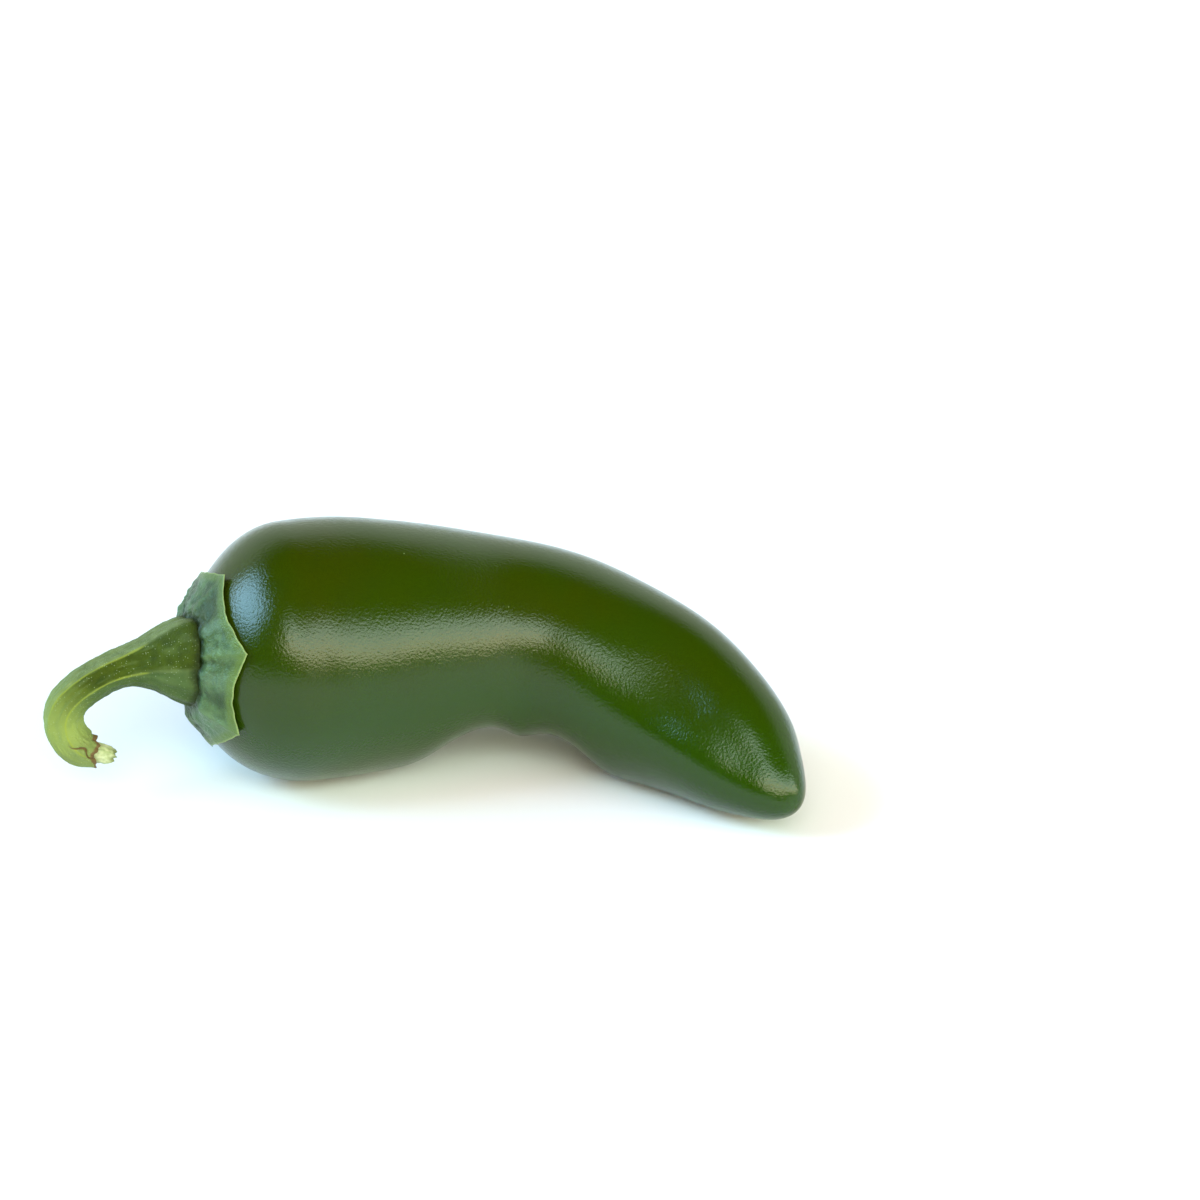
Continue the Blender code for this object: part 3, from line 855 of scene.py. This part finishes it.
specks, given, result, grains = pattern_group("pale_specks", {"Share": 0.1, "Dot": 0.1}, "Mask",
                                              "ShaderNodeTexVoronoi")
picked = add_node(specks, "ShaderNodeSeparateColor", {"Color": grains.outputs["Color"]})
chosen = calculated(specks, "LESS_THAN", picked.outputs["Red"], given.outputs["Share"])
near = calculated(specks, "LESS_THAN", grains.outputs["Distance"], given.outputs["Dot"])
specks.links.new(calculated(specks, "MULTIPLY", chosen, near), result.inputs["Mask"])
print("groups:", [group.name for group in bpy.data.node_groups])


# %% Start a material
def new_material(name):
    """A material, its node tree and its shader."""
    made = bpy.data.materials.new(name)
    made.use_nodes = True
    return made, made.node_tree, made.node_tree.nodes["Principled BSDF"]


def from_group(tree, group, output, **values):
    """One placed group with its own values, and the output asked for."""
    placed = tree.nodes.new("ShaderNodeGroup")
    placed.node_tree = group
    for name, value in values.items():
        placed.inputs[name].default_value = value
    return placed.outputs[output]


def mark(tree, name):
    """The value that a piece's mesh carries under this name."""
    return add_node(tree, "ShaderNodeAttribute", attribute_name=name).outputs["Fac"]


def bumped(tree, shader, height, amount):
    """Feeds the shader's Normal with a bump as high as the height times an amount in metres."""
    raised = calculated(tree, "MULTIPLY", height, amount)
    bump = add_node(tree, "ShaderNodeBump", {"Height": raised, "Strength": 1.0, "Distance": 1.0})
    tree.links.new(bump.outputs["Normal"], shader.inputs["Normal"])


print("materials so far:", len(bpy.data.materials))


# %% [markdown]
# ## The pod's skin
# The skin is dark green, a little browner on top and greener underneath, under a clear natural
# wax. The wax is what shines, and the cells of the skin show in its highlights as a fine grain.
# Noise in object coordinates is used rather than a painted image, because it has no seams.

# %% Waxy green skin
leaf_green = (0.0185, 0.038, 0.0004)
olive_green = (0.0250, 0.033, 0.0002)
freckle_green = (0.0165, 0.032, 0.0003)
underside_green = (0.0130, 0.044, 0.0004)
dot_green = (0.20, 0.26, 0.10)

skin, tree, shader = new_material("pod_waxy_skin")
broad_patches = from_group(tree, patches, "Mask", Size=0.018)
small_patches = from_group(tree, patches, "Mask", Size=0.0035)
dots = from_group(tree, specks, "Mask", Size=0.0026, Share=0.20, Dot=0.035)
lower = remapped(tree, mark(tree, "height"), 0.75, 0.25)
colour = mixed(tree, broad_patches, leaf_green, olive_green)
colour = painted(tree, colour, freckle_green, small_patches, 0.35)
colour = painted(tree, colour, underside_green, lower, 0.75)
colour = painted(tree, colour, dot_green, dots, 0.6)
tree.links.new(colour, shader.inputs["Base Color"])
tree.links.new(remapped(tree, small_patches, 0.0, 1.0, 0.13, 0.18), shader.inputs["Roughness"])
shader.inputs["IOR"].default_value = 1.40
bumped(tree, shader, from_group(tree, cells, "Height", Size=0.00031), 0.000048)
pod.data.materials.append(skin)
print(skin.name, "has", len(tree.nodes), "nodes")

# %% [markdown]
# ## The calyx's leaf
# The leaf is a cooler, greyer green than the pod. It is mottled between its veins, partly in its own
# tones and partly with a painted bluish sheen. It has a satin shine, and the crests of its pleats
# carry a painted highlight. The hollows of its wrinkles and pleats and the crease round the stem
# carry painted shade, its margin is yellower, and its thin rim is pale yellow green. The mesh carries
# its own veins, pleats and rim as marks, so that each colour lies exactly on the form that it belongs to.

# %% Satin leaf
leaf_dull = (0.034, 0.074, 0.014)
# The brighter mottling colour is partly the leaf's own tone and partly a painted bluish sheen.
leaf_bright_and_sheen = (0.092, 0.165, 0.056)
# Painted shade for the hollows of the wrinkles and pleats, and a painted highlight for the pleats' crests.
wrinkle_hollow_shade = (0.020, 0.046, 0.008)
pleat_hollow_shade = (0.022, 0.046, 0.008)
pleat_crest_highlight = (0.095, 0.165, 0.085)
vein_green = (0.10, 0.17, 0.045)
margin_green = (0.090, 0.150, 0.016)
# Painted shade in the crease round the stem.
crease_painted_shade = (0.010, 0.016, 0.002)
rim_pale = (0.24, 0.32, 0.10)

leaf_look, tree, shader = new_material("calyx_satin_leaf")
leaf_tone_and_sheen_patches = from_group(tree, patches, "Mask", Size=0.0011)
pleats = mark(tree, "pleat")
# Mottling: partly the leaf's own tones, partly painted sheen.
colour = mixed(tree, leaf_tone_and_sheen_patches, leaf_dull, leaf_bright_and_sheen)
# Painted shade in the hollows of the wrinkles and pleats, and a painted highlight on the pleats' crests.
colour = mixed(tree, remapped(tree, mark(tree, "wrinkle"), -0.45, 0.35), wrinkle_hollow_shade, colour)
colour = mixed(tree, remapped(tree, pleats, 0.05, -0.5, 0.0, 0.7), colour, pleat_hollow_shade)
colour = mixed(tree, remapped(tree, pleats, 0.1, 0.6, 0.0, 0.6), colour, pleat_crest_highlight)
colour = painted(tree, colour, vein_green, mark(tree, "vein"), 0.35)
colour = painted(tree, colour, margin_green, mark(tree, "margin"), 0.7)
# Painted shade in the crease round the stem.
colour = painted(tree, colour, crease_painted_shade, mark(tree, "crease"), 0.9)
colour = mixed(tree, mark(tree, "rim"), colour, rim_pale)
tree.links.new(colour, shader.inputs["Base Color"])
shader.inputs["IOR"].default_value = 1.45
leaf_cells = from_group(tree, cells, "Height", Size=0.00022)
tree.links.new(remapped(tree, leaf_cells, 0.3, 0.7, 0.28, 0.50), shader.inputs["Roughness"])
bumped(tree, shader, leaf_cells, 0.00016)
calyx.data.materials.append(leaf_look)
print(leaf_look.name, "has", len(tree.nodes), "nodes")

# %% [markdown]
# ## The stem's bark
# The bark is a pale, greyish green with yellow-green ridges. Its greyish cast is partly painted
# sheen. The two facets in front are coloured apart: the upper one is a deep olive, partly painted
# shade, and the lower one a leaf green with a painted bluish reflection of the table. Towards the
# hook they fade into one pale green, darkened by painted shade towards the hanging end. The bark
# carries many tiny pale specks, has painted shade in the crease at its root, and is brown and dry
# where it was torn.

# %% Green bark
# The bark's own greyish green, with a painted bluish sheen in it.
bark_dull_and_sheen = (0.105, 0.140, 0.042)
bark_bright_and_sheen = (0.175, 0.215, 0.078)
# The front facet's deep olive is partly its own colour and partly painted shade.
front_dull_shaded = (0.026, 0.042, 0.0003)
front_bright_shaded = (0.046, 0.070, 0.0010)
# The lower facet's leaf green carries a painted bluish reflection of the table.
lower_dull_reflecting = (0.046, 0.080, 0.020)
lower_bright_reflecting = (0.066, 0.106, 0.027)
hook_green = (0.25, 0.32, 0.070)
# Painted shade towards the hook's hanging end.
hook_end_shade = (0.165, 0.215, 0.062)
crest_green = (0.25, 0.30, 0.026)
fibre_green = (0.13, 0.18, 0.06)
speck_green = (0.33, 0.41, 0.23)
# Painted shade in the crease at the stem's root.
root_crease_shade = (0.012, 0.020, 0.003)
torn_brown = (0.125, 0.080, 0.032)

bark_look, tree, shader = new_material("stem_green_bark")
along = mark(tree, "along")
bark_patches = from_group(tree, patches, "Mask", Size=0.0014)
dots = from_group(tree, specks, "Mask", Size=0.00030, Share=0.42, Dot=0.22)
front_facet_shaded = mixed(tree, bark_patches, front_dull_shaded, front_bright_shaded)
lower_facet_reflecting = mixed(tree, bark_patches, lower_dull_reflecting, lower_bright_reflecting)
# Bark colour: partly its own tone, partly painted sheen.
colour = mixed(tree, bark_patches, bark_dull_and_sheen, bark_bright_and_sheen)
# The front facet: own olive with painted shade.
colour = mixed(tree, mark(tree, "front"), colour, front_facet_shaded)
# The lower facet: own green with a painted reflection of the table.
colour = mixed(tree, mark(tree, "lower"), colour, lower_facet_reflecting)
colour = mixed(tree, remapped(tree, along, 0.40, 0.90), colour, hook_green)
# Painted shade darkens the hook towards its end.
colour = mixed(tree, remapped(tree, along, 0.70, 0.93), colour, hook_end_shade)
colour = mixed(tree, remapped(tree, mark(tree, "crest"), 0.74, 1.0, 0.0, 0.60), colour, crest_green)
colour = mixed(tree, remapped(tree, mark(tree, "fibre"), 0.1, 0.8, 0.0, 0.20), colour, fibre_green)
colour = painted(tree, colour, speck_green, dots, 0.35)
# Painted shade in the crease at the root.
colour = painted(tree, colour, root_crease_shade, mark(tree, "root"), 0.8)
colour = mixed(tree, remapped(tree, mark(tree, "torn"), 0.25, 0.65), colour, torn_brown)
tree.links.new(colour, shader.inputs["Base Color"])
shader.inputs["IOR"].default_value = 1.45
# The low specular level leaves the sheen and the table's reflection to the painted colours.
shader.inputs["Specular IOR Level"].default_value = 0.14
bark_cells = from_group(tree, cells, "Height", Size=0.00020)
tree.links.new(remapped(tree, bark_cells, 0.3, 0.7, 0.42, 0.66), shader.inputs["Roughness"])
bumped(tree, shader, bark_cells, 0.00013)
stem.data.materials.append(bark_look)
print(bark_look.name, "has", len(tree.nodes), "nodes")

# %% [markdown]
# ## The pith
# Fresh pith is pale yellow green and matt, with fibres along it, and it dries to a dull olive
# brown at its ragged end.

# %% Pale pith
pith_dull = (0.27, 0.32, 0.13)
pith_bright = (0.48, 0.52, 0.30)
strand_green = (0.24, 0.34, 0.10)
dry_olive = (0.14, 0.17, 0.035)

pith_look, tree, shader = new_material("stem_pale_pith")
colour = mixed(tree, from_group(tree, patches, "Mask", Size=0.0006), pith_dull, pith_bright)
colour = mixed(tree, remapped(tree, mark(tree, "strands"), 0.1, 0.8, 0.0, 0.5), colour, strand_green)
colour = mixed(tree, remapped(tree, mark(tree, "along"), 0.70, 0.95, 0.0, 0.9), colour, dry_olive)
tree.links.new(colour, shader.inputs["Base Color"])
pith_cells = from_group(tree, cells, "Height", Size=0.00016)
tree.links.new(remapped(tree, pith_cells, 0.3, 0.7, 0.55, 0.8), shader.inputs["Roughness"])
bumped(tree, shader, pith_cells, 0.00008)
pith.data.materials.append(pith_look)
print("materials:", [piece.data.materials[0].name for piece in (pod, calyx, stem, pith)])

# %% [markdown]
# ## The table
# A wide pale table fills the view, so that nothing but the pepper draws the eye. One flat face is
# enough for it. It is stage scenery and not part of the pepper.

# %% Pale table
TABLE_HALF = 12.0
table_mesh = bpy.data.meshes.new("table")
corners = np.array([(-1, -1), (1, -1), (1, 1), (-1, 1)]) * TABLE_HALF
table_mesh.from_pydata(np.column_stack((corners, np.full(4, cad_low[2]))), [], [(0, 1, 2, 3)])
table = bpy.data.objects.new("table", table_mesh)
bpy.context.scene.collection.objects.link(table)
table_look, tree, shader = new_material("table_white")
tint = mixed(tree, from_group(tree, patches, "Mask", Size=0.05), (0.88, 0.88, 0.88), (0.89, 0.89, 0.89))
tree.links.new(tint, shader.inputs["Base Color"])
shader.inputs["Roughness"].default_value = 0.9
shader.inputs["Specular IOR Level"].default_value = 0.0
table.data.materials.append(table_look)
table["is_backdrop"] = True
print("the table is", 2.0 * TABLE_HALF, "m wide")

# %% [markdown]
# ## Light
# The room round the table does most of the lighting, so it is made as a world: each patch of it
# that shines is a window with soft edges, given by its compass direction and its height above
# the horizon. Two wide windows in front, one above the other, draw the band along the pod: its
# lower half is warm and its upper half cool. A blue one on the left shines on the shoulder, and a
# pale wall behind gives the bright line along the pod's back. One wide lamp overhead whitens the
# table. It isn't mirrored in the skin, so the pod's top stays dark.

# %% Windows of the room
# Each window: (azimuth from, to, edge, elevation from, to, edge, lean, radiance, colour). The
# angles are in degrees, azimuth 0 is in front, towards -Y, and 90 is to the right. The lean is
# how much lower the window gets for each degree to the right.
WINDOWS = [(-18.0, 84.0, 10.0, 18.0, 31.0, 6.0, 0.2, 7.4, (1.0, 0.95, 0.64)),
           (-18.0, 84.0, 10.0, 31.0, 47.0, 12.0, 0.2, 7.0, (0.76, 0.97, 0.84)),
           (-112.0, -61.0, 9.0, 25.0, 48.0, 9.0, 0.0, 14.0, (0.36, 0.70, 1.0))]
WALL_AZIMUTHS = (75.0, 120.0)     # the wall begins to show at the first and is full at the second
WALL_ELEVATIONS = (54.0, 16.0)    # it is dark above the first and full below the second
WALL_RADIANCE = 2.1
WALL_COLOUR = (0.88, 1.0, 0.86)

room = bpy.data.worlds.new("room")
bpy.context.scene.world = room
room.use_nodes = True
tree = room.node_tree
background = tree.nodes["Background"]
direction = add_node(tree, "ShaderNodeSeparateXYZ",
                     {"Vector": add_node(tree, "ShaderNodeTexCoord").outputs["Generated"]})
backwards = calculated(tree, "MULTIPLY", direction.outputs["Y"], -1.0)
azimuth = calculated(tree, "ARCTAN2", direction.outputs["X"], backwards)
azimuth = calculated(tree, "MULTIPLY", azimuth, math.degrees(1.0))
elevation = calculated(tree, "ARCSINE", direction.outputs["Z"], 0.0)
elevation = calculated(tree, "MULTIPLY", elevation, math.degrees(1.0))
print("windows:", len(WINDOWS))


# %% Add the wall and the windows up
def between(tree, value, low, high, edge):
    """1 between low and high, falling to 0 over an edge that is centred on each."""
    rise = remapped(tree, value, low - edge / 2.0, low + edge / 2.0)
    fall = remapped(tree, value, high + edge / 2.0, high - edge / 2.0)
    return calculated(tree, "MULTIPLY", rise, fall)


behind = remapped(tree, calculated(tree, "ABSOLUTE", azimuth, 0.0), *WALL_AZIMUTHS)
wall = calculated(tree, "MULTIPLY", behind, remapped(tree, elevation, *WALL_ELEVATIONS))
wall = calculated(tree, "MULTIPLY", wall, WALL_RADIANCE)
light = mixed(tree, wall, (0.0, 0.0, 0.0), WALL_COLOUR)
for west, east, soft, bottom, top, blur, lean, radiance, tone in WINDOWS:
    leaned = calculated(tree, "ADD", elevation, calculated(tree, "MULTIPLY", azimuth, lean))
    patch = calculated(tree, "MULTIPLY", between(tree, azimuth, west, east, soft),
                       between(tree, leaned, bottom, top, blur))
    lit = add_node(tree, "ShaderNodeVectorMath",
                   {"Scale": patch, "Vector": [radiance * channel for channel in tone]}, operation="SCALE")
    added = add_node(tree, "ShaderNodeVectorMath", {0: light, 1: lit.outputs[0]}, operation="ADD")
    light = added.outputs[0]
seen = add_node(tree, "ShaderNodeLightPath").outputs["Is Camera Ray"]
tree.links.new(mixed(tree, seen, light, (1.0, 1.0, 1.0)), background.inputs["Color"])
print("the room has", len(tree.nodes), "nodes")

# %% The overhead lamp
LAMP_ELEVATION = 62.0
LAMP_DISTANCE = 2.4
LAMP_SIDE = 3.0
LAMP_RADIANCE = 1.15        # the lamp's power is this times its area times pi
LAMP_COLOUR = (1.0, 0.60, 0.74)

tilt = math.radians(LAMP_ELEVATION)
lamp = bpy.data.lights.new("overhead", "AREA")
lamp.shape = "RECTANGLE"
lamp.size = LAMP_SIDE
lamp.size_y = LAMP_SIDE
lamp.energy = LAMP_RADIANCE * LAMP_SIDE * LAMP_SIDE * math.pi
lamp.color = LAMP_COLOUR
panel = bpy.data.objects.new("overhead", lamp)
bpy.context.scene.collection.objects.link(panel)
panel.location = cad_middle + LAMP_DISTANCE * np.array([0.0, -math.cos(tilt), math.sin(tilt)])
panel.rotation_euler = (math.pi / 2.0 - tilt, 0.0, 0.0)
panel.visible_camera = False
panel.visible_glossy = False
print("the lamp's power is", round(lamp.energy, 1), "W")

# %% [markdown]
# ## The camera
# The camera looks down at the pepper from in front with a long lens, which keeps its shape true. It
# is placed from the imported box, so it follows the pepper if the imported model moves.

# %% Camera
CAMERA_ELEVATION = 24.0
CAMERA_DISTANCE = 0.470
TARGET_RIGHT = 0.232        # from the middle of the box, as a share of its length
TARGET_BACK = 0.560
CAMERA_LENS = 100.0
SENSOR_WIDTH = 36.0

camera_data = bpy.data.cameras.new("camera")
camera_data.lens = CAMERA_LENS
camera_data.sensor_width = SENSOR_WIDTH
camera = bpy.data.objects.new("camera", camera_data)
bpy.context.scene.collection.objects.link(camera)
target = np.array([cad_middle[0] + TARGET_RIGHT * cad_size[0],
                   cad_middle[1] + TARGET_BACK * cad_size[0], cad_low[2]])
tilt = math.radians(CAMERA_ELEVATION)
camera.location = target + CAMERA_DISTANCE * np.array([0.0, -math.cos(tilt), math.sin(tilt)])
camera.rotation_euler = (math.pi / 2.0 - tilt, 0.0, 0.0)
bpy.context.scene.camera = camera
bpy.context.scene.view_settings.view_transform = "Standard"
print("camera at", [round(value, 4) for value in camera.location])
